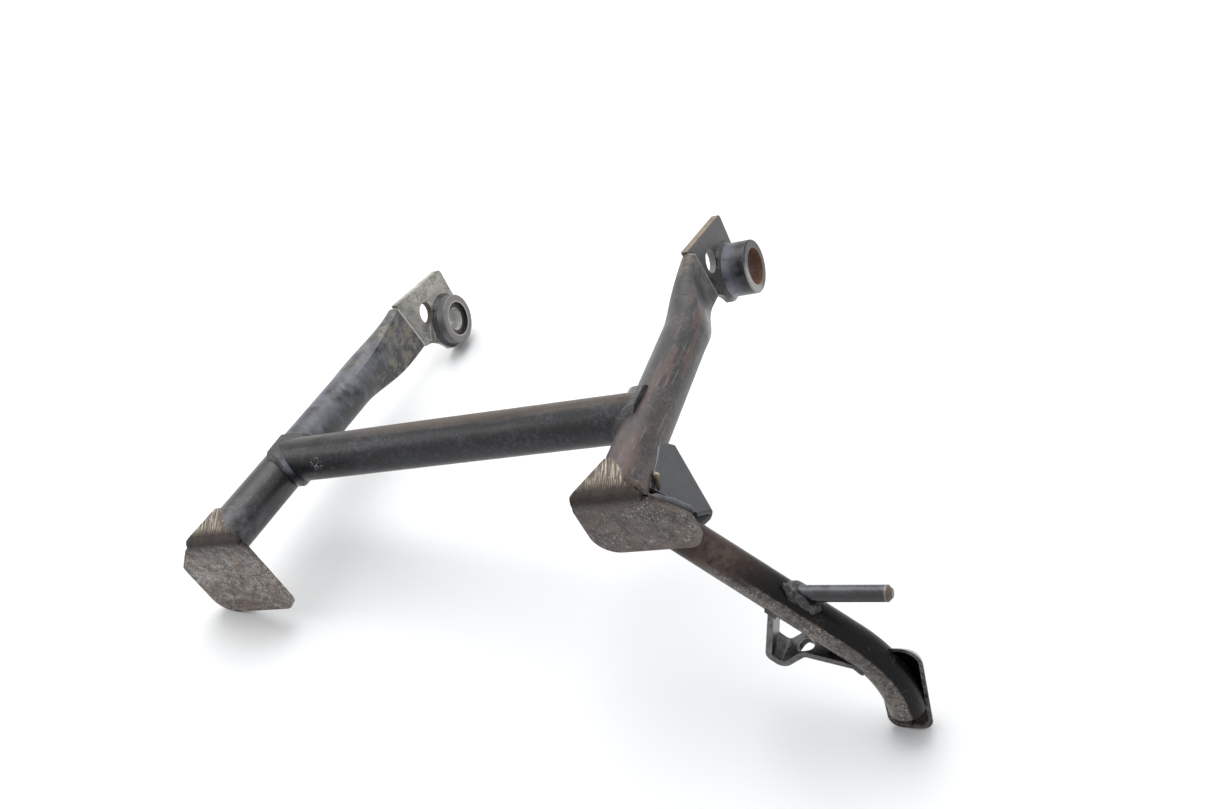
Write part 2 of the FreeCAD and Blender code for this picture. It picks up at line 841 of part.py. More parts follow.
def gusset(blockers):
    ridge_top, ridge_low, front_low, rear_low = gusset_corners()
    opening = unit(unit(front_low - ridge_low) + unit(rear_low - ridge_low))
    ridge_top = ridge_top - opening * gusset_ridge_lift
    ridge_low = ridge_low - opening * gusset_ridge_lift
    ridge = unit(ridge_low - ridge_top)
    start = ridge_top - ridge * reach_margin
    front_side = front_low - ridge_low
    front_side = unit(front_side - ridge * front_side.dot(ridge))
    rear_side = rear_low - ridge_low
    rear_side = unit(rear_side - ridge * rear_side.dot(ridge))
    points = [start + front_side * gusset_flange, start, start + rear_side * gusset_flange]
    outside = rounded_path(points, gusset_ridge_radius)
    middle = unit(front_side + rear_side)
    half = front_side.getAngle(rear_side) / 2.0
    shift = middle * (gusset_sheet / math.sin(half))
    inner_points = [p + shift for p in points]
    inner_radius = gusset_ridge_radius - gusset_sheet
    inside = rounded_path(inner_points, inner_radius)
    first = Part.LineSegment(points[0], inner_points[0]).toShape()
    last = Part.LineSegment(points[2], inner_points[2]).toShape()
    loop = Part.Wire(Part.sortEdges(outside.Edges + inside.Edges + [first, last])[0])
    sheet = Part.Face(loop).extrude(ridge * (2 * reach_margin + gusset_flange))
    end_normal = (front_low - ridge_low).cross(rear_low - ridge_low)
    if end_normal.dot(ridge) < 0:
        end_normal = end_normal * -1.0
    sheet = sheet.cut(beyond(ridge_low, end_normal))
    panel_normal = unit(ridge.cross(front_side))
    if panel_normal.dot(X) < 0:
        panel_normal = panel_normal * -1.0
    level = unit(panel_normal.cross(Z))
    if level.dot(Y) > 0:
        level = level * -1.0
    edge_slope = math.radians(gusset_edge_slope_deg)
    edge = level * math.cos(edge_slope) - Z * math.sin(edge_slope)
    below = unit(edge.cross(panel_normal))
    if below.z > 0:
        below = below * -1.0
    slab_depth = 2.2 * gusset_sheet
    corner = front_low + panel_normal * gusset_sheet - edge * reach_margin
    slab = polygon_face([
        corner,
        corner + edge * (3 * reach_margin),
        corner + edge * (3 * reach_margin) + below * reach_margin,
        corner + below * reach_margin,
    ]).extrude(panel_normal * -slab_depth)
    sheet = sheet.cut(slab)
    top_angle = math.radians(gusset_top_edge_deg)
    top_normal = ridge * -math.sin(top_angle) - front_side * math.cos(top_angle)
    sheet = sheet.cut(beyond(ridge_top + ridge * gusset_top_trim, top_normal))
    sheet = sheet.cut(beyond(leg_axis_point(1, gusset_top_drop) - Y * gusset_sheet, Y * -1.0))
    for blocker in blockers:
        sheet = sheet.cut(blocker)
    return one_solid(sheet)


def build():
    parts = {}
    left_leg = leg_body(-1)
    right_leg = leg_body(1)
    for name, side, leg in (("left", -1, left_leg), ("right", 1, right_leg)):
        foot = foot_plate(side)
        parts[name + "_foot_plate"] = foot
        parts[name + "_leg_tube"] = leg_tube(side, foot)
        parts[name + "_foot_weld"] = foot_weld(side, leg, foot)
        parts[name + "_pivot_plate"] = pivot_plate(side)
        parts[name + "_pivot_boss"] = pivot_boss(side)
        parts[name + "_boss_weld"] = boss_weld(side)
        parts[name + "_plate_weld"] = plate_weld(side, leg)
        parts[name + "_cross_weld"] = cross_weld(side, leg)
    parts["cross_tube"] = cross_tube([left_leg, right_leg])
    arm = arm_body()
    foot = parts["right_foot_plate"]
    parts["tread_arm"] = tread_arm([right_leg, foot, parts["right_foot_weld"]])
    parts["tread_pad"] = tread_pad(arm)
    parts["stop_rod"] = stop_rod(arm)
    parts["stop_rod_weld"] = rod_weld(arm, parts["stop_rod"])
    parts["spring_hook"] = spring_hook(arm)
    parts["gusset"] = gusset([right_leg, arm, foot, parts["right_foot_weld"]])
    parts["pad_weld"] = pad_weld(arm, parts["tread_pad"])
    root_weld, tip_weld = hook_welds(arm, parts["spring_hook"])
    parts["hook_root_weld"] = root_weld
    parts["hook_tip_weld"] = tip_weld
    parts["arm_weld"] = arm_weld(right_leg, [foot, parts["right_foot_weld"], parts["gusset"]])
    return parts


def lay_down(parts):
    """Turn the stand on its rear side, as it lies on a floor."""
    supports = [parts["left_foot_plate"], parts["left_pivot_plate"], parts["tread_pad"]]
    total = Rotation(X, -90.0)
    for _ in range(6):
        lows = []
        for shape in supports:
            points = [total.multVec(p) for p in shape.tessellate(0.05)[0]]
            lows.append(min(points, key=lambda p: p.z))
        normal = (lows[2] - lows[0]).cross(lows[1] - lows[0])
        if normal.z < 0:
            normal = normal * -1.0
        total = Rotation(normal, Z).multiply(total)
    return total


def rest_place(parts):
    """The turn and shift that lay the stand on the floor, over the middle of its outline."""
    turn = lay_down(parts)
    corners = []
    for shape in parts.values():
        corners += [turn.multVec(p) for p in shape.tessellate(0.05)[0]]
    x_mid = (min(p.x for p in corners) + max(p.x for p in corners)) / 2.0
    y_mid = (min(p.y for p in corners) + max(p.y for p in corners)) / 2.0
    z_low = min(p.z for p in corners)
    return Placement(Vector(-x_mid, -y_mid, -z_low), turn)


def save(parts, rest):
    os.makedirs("parts", exist_ok=True)
    for name, shape in parts.items():
        placed = shape.copy()
        placed.Placement = rest.multiply(placed.Placement)
        placed.exportStep("parts/" + name + ".step")


shapes = build()
place = rest_place(shapes)
save(shapes, place)
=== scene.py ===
import json
import math

import bmesh
import bpy
from mathutils import Matrix, Vector, noise


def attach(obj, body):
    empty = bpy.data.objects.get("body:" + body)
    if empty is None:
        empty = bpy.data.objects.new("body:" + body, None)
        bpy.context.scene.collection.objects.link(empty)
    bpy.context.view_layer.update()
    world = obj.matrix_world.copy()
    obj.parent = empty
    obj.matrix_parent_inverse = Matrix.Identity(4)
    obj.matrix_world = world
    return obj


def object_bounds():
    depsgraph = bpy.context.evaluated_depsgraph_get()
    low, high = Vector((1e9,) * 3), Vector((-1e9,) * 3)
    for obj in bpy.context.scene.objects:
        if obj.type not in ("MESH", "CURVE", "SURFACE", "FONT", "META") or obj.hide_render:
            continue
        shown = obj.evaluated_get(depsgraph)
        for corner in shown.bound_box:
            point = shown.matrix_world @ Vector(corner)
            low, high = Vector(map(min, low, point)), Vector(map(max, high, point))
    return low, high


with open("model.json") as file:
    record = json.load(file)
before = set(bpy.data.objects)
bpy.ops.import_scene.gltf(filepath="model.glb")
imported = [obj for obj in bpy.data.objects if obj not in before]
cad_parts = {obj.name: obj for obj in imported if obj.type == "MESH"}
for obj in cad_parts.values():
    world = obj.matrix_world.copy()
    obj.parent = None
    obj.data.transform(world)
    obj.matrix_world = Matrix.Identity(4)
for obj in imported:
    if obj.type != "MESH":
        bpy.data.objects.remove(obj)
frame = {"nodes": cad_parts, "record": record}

loaded_bounds = [list(corner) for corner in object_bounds()]

# The stand's own directions as it lies here: across it, up its legs, and to its rear side
mounts = {row["name"]: row for row in frame["record"]["mounts"]}
LEFT_BORE_MIDDLE = -109.2
across = Vector(mounts["left_pivot_bore"]["axis"]).normalized()
upright = Vector(mounts["tread_face"]["axis"]).normalized()
rearward = upright.cross(across).normalized()
pivot_middle = Vector(mounts["left_pivot_bore"]["pos_m"]) - across * (LEFT_BORE_MIDDLE * 0.001)


def toward(x, y, z):
    """A direction given across, rearward and up the legs."""
    return (across * x + rearward * y + upright * z).normalized()


def spot(x, y, z):
    """A point given in millimetres from the middle of the pivot axis."""
    return pivot_middle + (across * x + rearward * y + upright * z) * 0.001


TO_CAMERA = toward(0.4818909, -0.482716, -0.7312772)


# Small helpers that write shader nodes

class Shader:
    def __init__(self, tree):
        self.tree = tree

    def node(self, kind, **settings):
        made = self.tree.nodes.new(kind)
        for key, value in settings.items():
            setattr(made, key, value)
        return made

    def put(self, socket, value):
        if isinstance(value, bpy.types.NodeSocket):
            self.tree.links.new(value, socket)
        elif isinstance(value, (tuple, list, Vector)):
            value = tuple(value)
            if socket.type == "RGBA" and len(value) == 3:
                value = value + (1.0,)
            socket.default_value = value
        else:
            socket.default_value = value

    def math(self, operation, first, second=0.0, clamp=False):
        made = self.node("ShaderNodeMath", operation=operation, use_clamp=clamp)
        self.put(made.inputs[0], first)
        self.put(made.inputs[1], second)
        return made.outputs[0]

    def vector(self, operation, first, second=(0, 0, 0)):
        made = self.node("ShaderNodeVectorMath", operation=operation)
        self.put(made.inputs[0], first)
        self.put(made.inputs[1], second)
        return made.outputs["Value" if operation in ("DOT_PRODUCT", "DISTANCE", "LENGTH") else "Vector"]

    def scaled(self, first, factor):
        made = self.node("ShaderNodeVectorMath", operation="SCALE")
        self.put(made.inputs[0], first)
        self.put(made.inputs["Scale"], factor)
        return made.outputs["Vector"]

    def noise(self, place, scale, detail=3.0, rough=0.55, warp=0.0):
        made = self.node("ShaderNodeTexNoise")
        self.put(made.inputs["Vector"], place)
        self.put(made.inputs["Scale"], scale)
        self.put(made.inputs["Detail"], detail)
        self.put(made.inputs["Roughness"], rough)
        self.put(made.inputs["Distortion"], warp)
        return made.outputs["Fac"]

    def step(self, value, low, high):
        made = self.node("ShaderNodeMapRange", interpolation_type="SMOOTHSTEP")
        self.put(made.inputs["Value"], value)
        self.put(made.inputs["From Min"], low)
        self.put(made.inputs["From Max"], high)
        return made.outputs["Result"]

    def mix(self, factor, first, second):
        made = self.node("ShaderNodeMix", data_type="RGBA")
        self.put(made.inputs["Factor"], factor)
        self.put(made.inputs[6], first)
        self.put(made.inputs[7], second)
        return made.outputs[2]

    def between(self, factor, first, second):
        made = self.node("ShaderNodeMix", data_type="FLOAT")
        self.put(made.inputs["Factor"], factor)
        self.put(made.inputs[2], first)
        self.put(made.inputs[3], second)
        return made.outputs[0]

    def use(self, group, **inputs):
        made = self.node("ShaderNodeGroup")
        made.node_tree = group
        for key, value in inputs.items():
            self.put(made.inputs[key.replace("_", " ")], value)
        return made


def new_group(name, inputs, outputs):
    tree = bpy.data.node_groups.new(name, "ShaderNodeTree")
    kinds = {"value": "NodeSocketFloat", "vector": "NodeSocketVector", "colour": "NodeSocketColor"}
    for label, kind in inputs:
        tree.interface.new_socket(label, in_out="INPUT", socket_type=kinds[kind])
    for label, kind in outputs:
        tree.interface.new_socket(label, in_out="OUTPUT", socket_type=kinds[kind])
    shader = Shader(tree)
    return tree, shader, shader.node("NodeGroupInput"), shader.node("NodeGroupOutput")


# A soft round patch about one point, with a ragged edge
def make_patch_group():
    tree, s, start, end = new_group(
        "ragged_patch",
        [("Place", "vector"), ("Centre", "vector"), ("Radius", "value"), ("Soft", "value"),
         ("Ragged", "value")],
        [("Mask", "value")])
    place = start.outputs["Place"]
    away = s.vector("DISTANCE", place, start.outputs["Centre"])
    shift = s.math("SUBTRACT", s.noise(place, 260.0, 4.0, 0.65), 0.5)
    away = s.math("ADD", away, s.math("MULTIPLY", shift, start.outputs["Ragged"]))
    inner = s.math("SUBTRACT", start.outputs["Radius"], start.outputs["Soft"])
    mask = s.step(away, inner, start.outputs["Radius"])
    s.put(end.inputs["Mask"], s.math("SUBTRACT", 1.0, mask))
    return tree


# One side of a plane, with a ragged edge
def make_side_group():
    tree, s, start, end = new_group(
        "ragged_side",
        [("Place", "vector"), ("Along", "vector"), ("From", "value"), ("To", "value"), ("Ragged", "value")],
        [("Mask", "value")])
    place = start.outputs["Place"]
    along = s.vector("DOT_PRODUCT", place, start.outputs["Along"])
    shift = s.math("SUBTRACT", s.noise(place, 220.0, 4.0, 0.65), 0.5)
    along = s.math("ADD", along, s.math("MULTIPLY", shift, start.outputs["Ragged"]))
    s.put(end.inputs["Mask"], s.step(along, start.outputs["From"], start.outputs["To"]))
    return tree


# Long scratches: noise drawn out along one direction
def make_scratch_group():
    tree, s, start, end = new_group(
        "scratches",
        [("Place", "vector"), ("Along", "vector"), ("Scale", "value"), ("Stretch", "value"),
         ("Share", "value")],
        [("Mask", "value")])
    place = start.outputs["Place"]
    along = start.outputs["Along"]
    depth = s.vector("DOT_PRODUCT", place, along)
    keep = s.math("SUBTRACT", 1.0, s.math("DIVIDE", 1.0, start.outputs["Stretch"]))
    squeezed = s.vector("SUBTRACT", place, s.scaled(along, s.math("MULTIPLY", depth, keep)))
    lines = s.noise(squeezed, start.outputs["Scale"], 2.0, 0.5)
    edge = s.math("SUBTRACT", 0.74, s.math("MULTIPLY", start.outputs["Share"], 0.24))
    mask = s.step(lines, edge, s.math("ADD", edge, 0.07))
    s.put(end.inputs["Mask"], mask)
    return tree


# Old paint: satin black with grey dust, brown rust, worn places and a slight orange peel
def make_paint_group():
    tree, s, start, end = new_group(
        "old_paint",
        [("Place", "vector"), ("Paint", "colour"), ("Dust", "colour"), ("Dust Share", "value"),
         ("Rust", "colour"), ("Rust Share", "value"), ("Bare", "colour"), ("Wear", "value"),
         ("Gloss", "value"), ("Relief", "value")],
        [("Colour", "colour"), ("Roughness", "value"), ("Metallic", "value"), ("Normal", "vector")])
    place = start.outputs["Place"]
    broad = s.noise(place, 42.0, 4.0, 0.6, 0.3)
    middle = s.noise(place, 210.0, 4.0, 0.62)
    fine = s.noise(place, 1150.0, 3.0, 0.6)
    grain = s.noise(place, 3600.0, 2.0, 0.5)
    film = s.math("ADD", s.math("MULTIPLY", broad, 0.55), s.math("MULTIPLY", middle, 0.45))
    low = s.math("SUBTRACT", 0.74, s.math("MULTIPLY", start.outputs["Dust Share"], 0.5))
    dusty = s.step(film, low, s.math("ADD", low, 0.3))
    dusty = s.math("MULTIPLY", dusty, s.between(fine, 0.55, 1.05), True)
    moved = s.vector("ADD", place, (0.37, 0.11, 0.53))
    patches = s.math("ADD", s.math("MULTIPLY", s.noise(moved, 75.0, 5.0, 0.68), 0.6),
                     s.math("MULTIPLY", s.noise(moved, 640.0, 3.0, 0.6), 0.4))
    edge = s.math("SUBTRACT", 0.72, s.math("MULTIPLY", start.outputs["Rust Share"], 0.4))
    rusty = s.step(patches, edge, s.math("ADD", edge, 0.12))
    torn = s.math("ADD", start.outputs["Wear"], s.math("MULTIPLY", s.math("SUBTRACT", fine, 0.5), 0.9))
    torn = s.step(torn, 0.35, 0.75)
    speck = s.step(grain, 0.66, 0.74)
    colour = s.mix(s.math("MULTIPLY", dusty, 0.8), start.outputs["Paint"], start.outputs["Dust"])
    colour = s.mix(s.math("MULTIPLY", rusty, 0.75), colour, start.outputs["Rust"])
    colour = s.mix(torn, colour, start.outputs["Bare"])
    colour = s.mix(s.math("MULTIPLY", speck, 0.22), colour, (0.42, 0.41, 0.4))
    rough = s.math("ADD", start.outputs["Gloss"], s.math("MULTIPLY", dusty, 0.2))
    rough = s.math("ADD", rough, s.math("MULTIPLY", rusty, 0.22))
    rough = s.math("ADD", rough, s.math("MULTIPLY", s.math("SUBTRACT", middle, 0.5), 0.16), True)
    metal = s.math("MULTIPLY", torn, 0.55)
    height = s.math("ADD", s.math("MULTIPLY", fine, 0.5), s.math("MULTIPLY", middle, 1.2))
    height = s.math("SUBTRACT", height, s.math("MULTIPLY", torn, 0.35))
    height = s.math("ADD", height, s.math("MULTIPLY", rusty, 0.3))
    bump = s.node("ShaderNodeBump")
    s.put(bump.inputs["Strength"], start.outputs["Relief"])
    s.put(bump.inputs["Distance"], 0.0005)
    s.put(bump.inputs["Height"], height)
    s.put(end.inputs["Colour"], colour)
    s.put(end.inputs["Roughness"], rough)
    s.put(end.inputs["Metallic"], metal)
    s.put(end.inputs["Normal"], bump.outputs["Normal"])
    return tree


# How close a point is to an outer edge of the metal
def make_edge_group():
    tree, s, start, end = new_group("edge_wear", [("Width", "value"), ("Reach", "value")],
                                    [("Mask", "value")])
    bevel = s.node("ShaderNodeBevel", samples=6)
    s.put(bevel.inputs["Radius"], start.outputs["Width"])
    geometry = s.node("ShaderNodeNewGeometry")
    agree = s.vector("DOT_PRODUCT", bevel.outputs["Normal"], geometry.outputs["Normal"])
    turned = s.math("SUBTRACT", 1.0, agree)
    s.put(end.inputs["Mask"], s.step(turned, 0.01, start.outputs["Reach"]))
    return tree


# A point of the stand in its own directions: across, rearward and up the legs, in metres
def make_stand_group():
    tree, s, start, end = new_group("stand_place", [("Object", "vector")], [("Place", "vector")])
    moved = s.vector("SUBTRACT", start.outputs["Object"], pivot_middle)
    joined = s.node("ShaderNodeCombineXYZ")
    for index, direction in enumerate((across, rearward, upright)):
        s.put(joined.inputs[index], s.vector("DOT_PRODUCT", moved, direction))
    s.put(end.inputs["Place"], joined.outputs[0])
    return tree


stand_group = make_stand_group()
patch_group = make_patch_group()
side_group = make_side_group()
scratch_group = make_scratch_group()
paint_group = make_paint_group()
edge_group = make_edge_group()

BLACK = (0.011, 0.0115, 0.013)
GREY_DUST = (0.11, 0.11, 0.113)
BROWN_RUST = (0.1, 0.06, 0.042)
WORN_STEEL = (0.3, 0.27, 0.235)


def mm(x, y, z):
    return Vector((x, y, z)) * 0.001


def patch(s, place, centre, radius, soft=None, ragged=6.0):
    """A ragged spot; sizes in millimetres."""
    soft = radius * 0.6 if soft is None else soft
    made = s.use(patch_group, Place=place, Centre=mm(*centre), Radius=radius * 0.001,
                 Soft=soft * 0.001, Ragged=ragged * 0.001)
    return made.outputs[0]


def side_of(s, place, along, start, end, ragged=2.0):
    """Rises from 0 at start to 1 at end along a direction; sizes in millimetres."""
    made = s.use(side_group, Place=place, Along=Vector(along).normalized(), From=start * 0.001,
                 To=end * 0.001, Ragged=ragged * 0.001)
    return made.outputs[0]


def scratches(s, place, along, scale, stretch, share):
    made = s.use(scratch_group, Place=place, Along=Vector(along).normalized(), Scale=scale,
                 Stretch=stretch, Share=share)
    return made.outputs[0]


def part_of(s, mask, share):
    return s.math("MULTIPLY", mask, share, True)


def both(s, *masks):
    joined = masks[0]
    for mask in masks[1:]:
        joined = s.math("MULTIPLY", joined, mask, True)
    return joined


def either(s, first, second):
    return s.math("MAXIMUM", first, second)


def blotches(s, place, scale, low, high, detail=5.0, rough=0.7):
    return s.step(s.noise(place, scale, detail, rough), low, high)


def ring(s, place, inner, outer):
    """1 between two distances from the pivot axis, in millimetres."""
    parted = s.node("ShaderNodeSeparateXYZ")
    s.put(parted.inputs[0], place)
    flat = s.node("ShaderNodeCombineXYZ")
    s.put(flat.inputs[1], parted.outputs[1])
    s.put(flat.inputs[2], parted.outputs[2])
    away = s.vector("LENGTH", flat.outputs[0])
    rising = s.step(away, (inner - 0.3) * 0.001, (inner + 0.3) * 0.001)
    falling = s.step(away, (outer + 0.3) * 0.001, (outer - 0.3) * 0.001)
    return both(s, rising, falling)


def old_paint(name, paint=BLACK, dust=GREY_DUST, dust_share=0.5, rust=BROWN_RUST, rust_share=0.2,
              bare=WORN_STEEL, wear=None, gloss=0.36, relief=0.35, tint=None, edge=0.0, shine=0.2):
    """wear and tint are functions of (shader, place): wear gives a mask, tint a list of (mask, colour)."""
    material = bpy.data.materials.new(name)
    material.use_nodes = True
    s = Shader(material.node_tree)
    principled = material.node_tree.nodes["Principled BSDF"]
    seen = s.node("ShaderNodeTexCoord").outputs["Object"]
    place = s.use(stand_group, Object=seen).outputs[0]
    worn = wear(s, place) if wear else 0.0
    if edge:
        near_edge = s.use(edge_group, Width=0.0011, Reach=0.22).outputs[0]
        worn = either(s, worn, s.math("MULTIPLY", near_edge, edge))
    made = s.use(paint_group, Place=place, Paint=paint, Dust=dust, Dust_Share=dust_share, Rust=rust,
                 Rust_Share=rust_share, Bare=bare, Wear=worn, Gloss=gloss, Relief=relief)
    colour = made.outputs["Colour"]
    rough = made.outputs["Roughness"]
    for mask, shade in (tint(s, place) if tint else []):
        colour = s.mix(mask, colour, shade)
        rough = s.math("ADD", rough, s.math("MULTIPLY", mask, 0.12), True)
    s.put(principled.inputs["Base Color"], colour)
    s.put(principled.inputs["Roughness"], rough)
    s.put(principled.inputs["Metallic"], made.outputs["Metallic"])
    s.put(principled.inputs["Normal"], made.outputs["Normal"])
    s.put(principled.inputs["Specular IOR Level"], shine)
    return material


# Directions across, rearward and up the legs
END_NORMAL = (0.0, -0.21, 0.978)
FRONT_UP = (0, -0.8, 0.6)
TOE_LEAN = (0, -0.5446, 0.8387)
ARM_OUT = (0.7694, -0.6388, 0.0)
ARM_ALONG = (0.6388, 0.7694, 0.0)
ARM_ROOT = (139.5, 3.7)
ARM_BEND_CENTRE = (166.57, 145.89, -241.9)
ROD_AXIS = (0.9978, 0.0663, 0)
LOCK_HOLE_MIDDLE = (0.0, -18.8, -18.2)


def left_leg_tint(s, place):
    high = side_of(s, place, (0, 0, 1), -205.0, -165.0, 20.0)
    # painted sheen: a light tint on the upper front of the leg, standing for reflected sky light
    bluish_sheen = both(s, high, side_of(s, place, (0, -1, 0), 16.0, 28.0, 6.0),
                  blotches(s, place, 60.0, 0.36, 0.6))
    streaks = both(s, high, scratches(s, place, (0.3, 0.5, -0.1), 150.0, 5.0, 0.8))
    pressed = side_of(s, place, (0, 0.3, 1), -125.0, -65.0, 20.0)
    tan = both(s, pressed, blotches(s, place, 110.0, 0.47, 0.6))
    dark = both(s, blotches(s, place, 45.0, 0.45, 0.66), side_of(s, place, (0, 0, 1), -200.0, -150.0, 10.0))
    # painted highlight: a bright line along the joint of the pressed tube end and the plate
    seam_highlight = side_of(s, place, END_NORMAL, -35.8, -34.9, 0.4)
    flecks = both(s, blotches(s, place, 1300.0, 0.62, 0.69, 2.0), blotches(s, place, 160.0, 0.42, 0.6))
    low = both(s, side_of(s, place, (0, 0, -1), 225.0, 250.0, 8.0), blotches(s, place, 130.0, 0.4, 0.6))
    return [
        # painted sheen on the upper front of the leg
        (part_of(s, bluish_sheen, 0.6), (0.15, 0.162, 0.2)),
        (part_of(s, streaks, 0.14), (0.3, 0.31, 0.34)),
        (part_of(s, dark, 0.5), (0.03, 0.027, 0.03)),
        (part_of(s, tan, 0.7), (0.19, 0.165, 0.12)),
        (part_of(s, flecks, 0.5), (0.38, 0.36, 0.32)),
        (part_of(s, low, 0.55), (0.1, 0.1, 0.112)),
        # painted highlight along the joint with the plate
        (part_of(s, seam_highlight, 0.9), (0.5, 0.48, 0.42)),
    ]


def right_leg_tint(s, place):
    front = side_of(s, place, (0.25, -0.97, 0), 40.0, 52.0, 5.0)
    middle = both(s, side_of(s, place, (0.97, 0.25, 0.02), 108.0, 120.0, 6.0), front)
    streaks = scratches(s, place, (-0.06, 0.0, 1.0), 130.0, 5.0, 0.9)
    low = both(s, side_of(s, place, (0, 0, -1), 150.0, 235.0, 20.0), blotches(s, place, 45.0, 0.3, 0.55))
    sides = both(s, blotches(s, place, 60.0, 0.4, 0.64), blotches(s, place, 480.0, 0.35, 0.7, 3.0))
    pale = both(s, side_of(s, place, (0, 0, 1), -60.0, -45.0, 6.0), blotches(s, place, 180.0, 0.42, 0.6))
    dark = both(s, blotches(s, place, 38.0, 0.48, 0.6), side_of(s, place, (0, 0, 1), -190.0, -150.0, 15.0))
    orange = both(s, patch(s, place, (114.0, -39.0, -53.0), 14.0, 7.0, 6.0),
                  blotches(s, place, 200.0, 0.45, 0.6))
    # painted highlight: a light line along the joint of the pressed tube end and the plate
    seam_highlight = side_of(s, place, END_NORMAL, -35.6, -34.9, 0.4)
    lines = scratches(s, place, (-0.06, 0.0, 1.0), 700.0, 14.0, 0.6)
    return [
        (part_of(s, low, 0.6), (0.075, 0.045, 0.04)),
        (part_of(s, sides, 0.5), (0.12, 0.11, 0.105)),
        (part_of(s, dark, 0.4), (0.02, 0.018, 0.018)),
        (part_of(s, both(s, middle, streaks), 0.44), (0.12, 0.06, 0.047)),
        (part_of(s, both(s, middle, lines), 0.2), (0.3, 0.27, 0.25)),
        (part_of(s, pale, 0.35), (0.2, 0.19, 0.18)),
        (part_of(s, orange, 0.4), (0.24, 0.16, 0.095)),
        # painted highlight along the joint with the plate
        (part_of(s, seam_highlight, 0.5), (0.3, 0.28, 0.26)),
    ]


def cross_tube_tint(s, place):
    top = side_of(s, place, FRONT_UP, -89.5, -83.6, 4.0)
    crest = side_of(s, place, FRONT_UP, -84.6, -82.4, 2.0)
    rust = both(s, side_of(s, place, (1, 0, 0), -85.0, -35.0, 25.0), top,
                blotches(s, place, 42.0, 0.22, 0.5))
    grey = both(s, top, blotches(s, place, 75.0, 0.35, 0.6))
    pits = both(s, blotches(s, place, 520.0, 0.6, 0.66, 2.0), side_of(s, place, (1, 0, 0), 45.0, 85.0, 20.0))
    scratch = both(s, patch(s, place, (-94.0, -26.5, -202.0), 5.0, 2.0, 2.0),
                   scratches(s, place, (-0.5, -0.5, 0.7), 1000.0, 26.0, 0.8))
    flecks = both(s, blotches(s, place, 1300.0, 0.64, 0.7, 2.0), blotches(s, place, 60.0, 0.45, 0.62))
    streaks = both(s, scratches(s, place, (1, 0, 0), 240.0, 16.0, 0.85),
                   side_of(s, place, FRONT_UP, -100.0, -86.0, 8.0))
    cloudy = both(s, blotches(s, place, 330.0, 0.45, 0.6, 5.0, 0.75), blotches(s, place, 48.0, 0.38, 0.6))
    return [
        (part_of(s, cloudy, 0.3), (0.1, 0.1, 0.112)),
        (part_of(s, streaks, 0.2), (0.11, 0.1, 0.095)),
        (part_of(s, grey, 0.3), (0.085, 0.074, 0.065)),
        (part_of(s, rust, 0.55), (0.075, 0.05, 0.034)),
        (part_of(s, both(s, crest, blotches(s, place, 90.0, 0.35, 0.55)), 0.15), (0.17, 0.125, 0.085)),
        (part_of(s, pits, 0.85), (0.006, 0.0055, 0.005)),
        (part_of(s, scratch, 0.8), (0.5, 0.5, 0.5)),
        (part_of(s, flecks, 0.4), (0.3, 0.3, 0.31)),
    ]


def foot_wear(s, place):
    sole = s.math("MULTIPLY", blotches(s, place, 170.0, 0.28, 0.72, 5.0, 0.75), 0.35)
    return s.math("ADD", 0.34, sole)


def toe_part(s, place, toe_start):
    return side_of(s, place, TOE_LEAN, toe_start + 4.0, toe_start + 7.0, 2.0)


